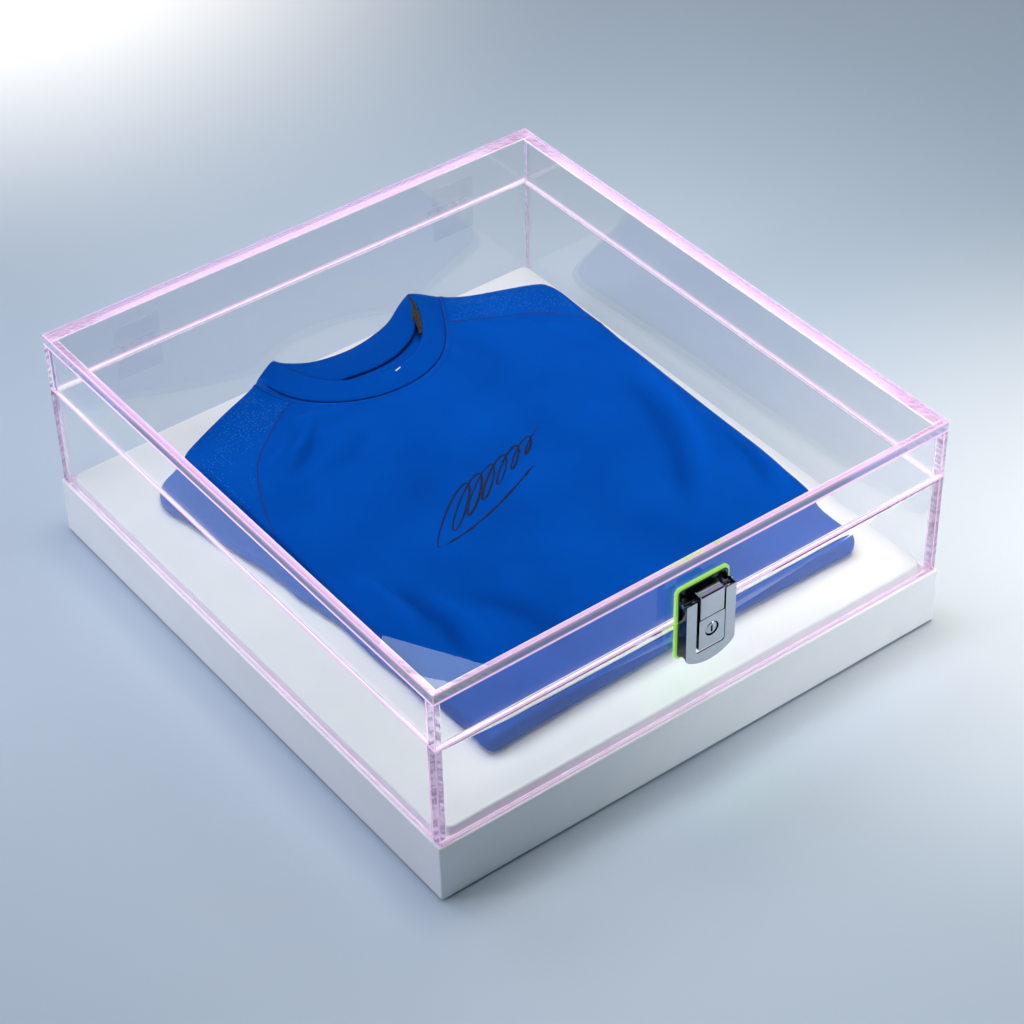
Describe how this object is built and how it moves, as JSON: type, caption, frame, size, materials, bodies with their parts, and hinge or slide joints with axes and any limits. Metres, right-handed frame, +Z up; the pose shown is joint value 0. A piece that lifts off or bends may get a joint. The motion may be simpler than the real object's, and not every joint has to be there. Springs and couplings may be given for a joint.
{
  "type": "display case",
  "caption": "Low display case for a folded jersey: white plinth and platform, clear acrylic box, hinged lid with stop hinges, and a lockable chrome hasp on a lime gasket.",
  "frame": {"origin": "on the table, under the middle of the case", "axes": "+X to the right along the latch side, +Y from the latch to the hinges, +Z up"},
  "size_m": [0.52, 0.5917, 0.2175],
  "materials": {
    "painted_white": "satin white lacquer on fibreboard",
    "clear_acrylic": "clear cast acrylic sheet, polished edges with a faint pink cast",
    "clear_hinge": "clear moulded acrylic",
    "chrome": "polished chrome plate",
    "zinc_steel": "bright zinc plated",
    "plain_wood": "planed softwood",
    "rubber_black": "matt",
    "lime_rubber": "matt fluorescent silicone",
    "jersey_knit": "fine polyester knit",
    "collar_knit": "ribbed polyester knit"
  },
  "bodies": {
    "case": {"plinth_front_rail": "painted_white", "plinth_back_rail": "painted_white", "plinth_left_rail": "painted_white", "plinth_right_rail": "painted_white", "plinth_top_board": "painted_white", "plinth_bottom_board": "painted_white", "corner_blocks": "plain_wood", "board_screws": "zinc_steel", "rubber_feet": "rubber_black", "display_platform": "painted_white", "wall_front": "clear_acrylic", "wall_back": "clear_acrylic", "wall_left": "clear_acrylic", "wall_right": "clear_acrylic", "hinge_leaf_lower_left": "clear_hinge", "hinge_leaf_lower_right": "clear_hinge", "hinge_pin_left": "clear_hinge", "hinge_pin_right": "clear_hinge", "lock_gasket": "lime_rubber", "lock_plate": "chrome", "lock_housing": "chrome", "lock_screws": "zinc_steel", "jersey_back_layer": "jersey_knit", "jersey_front_layer": "jersey_knit", "jersey_sleeve_fold": "jersey_knit", "jersey_collar": "collar_knit"},
    "lid": {"lid_top": "clear_acrylic", "lid_front": "clear_acrylic", "lid_back": "clear_acrylic", "lid_left": "clear_acrylic", "lid_right": "clear_acrylic", "hinge_leaf_upper_left": "clear_hinge", "hinge_leaf_upper_right": "clear_hinge", "keeper_gasket": "lime_rubber", "keeper_plate": "chrome", "keeper_bridge": "chrome", "keeper_screws": "zinc_steel", "hasp_pin": "chrome"},
    "hasp": {"hasp_bail": "chrome"},
    "plug": {"lock_plug": "chrome", "lock_cam": "zinc_steel", "cam_screw": "zinc_steel"}
  },
  "joints": [
    {"name": "lid_hinge", "type": "hinge", "parent": "case", "child": "lid", "pos_m": [0, 0.2867, 0.1605], "axis": [-1, 0, 0], "range_deg": [0, 105]},
    {"name": "hasp_hinge", "type": "hinge", "parent": "lid", "child": "hasp", "pos_m": [-0.0036, -0.2905, 0.1825], "axis": [-1, 0, 0], "range_deg": [0, 110]},
    {"name": "plug_turn", "type": "hinge", "parent": "case", "child": "plug", "pos_m": [-0.0036, -0.29, 0.1505], "axis": [0, -1, 0], "range_deg": [0, 90]}
  ]
}
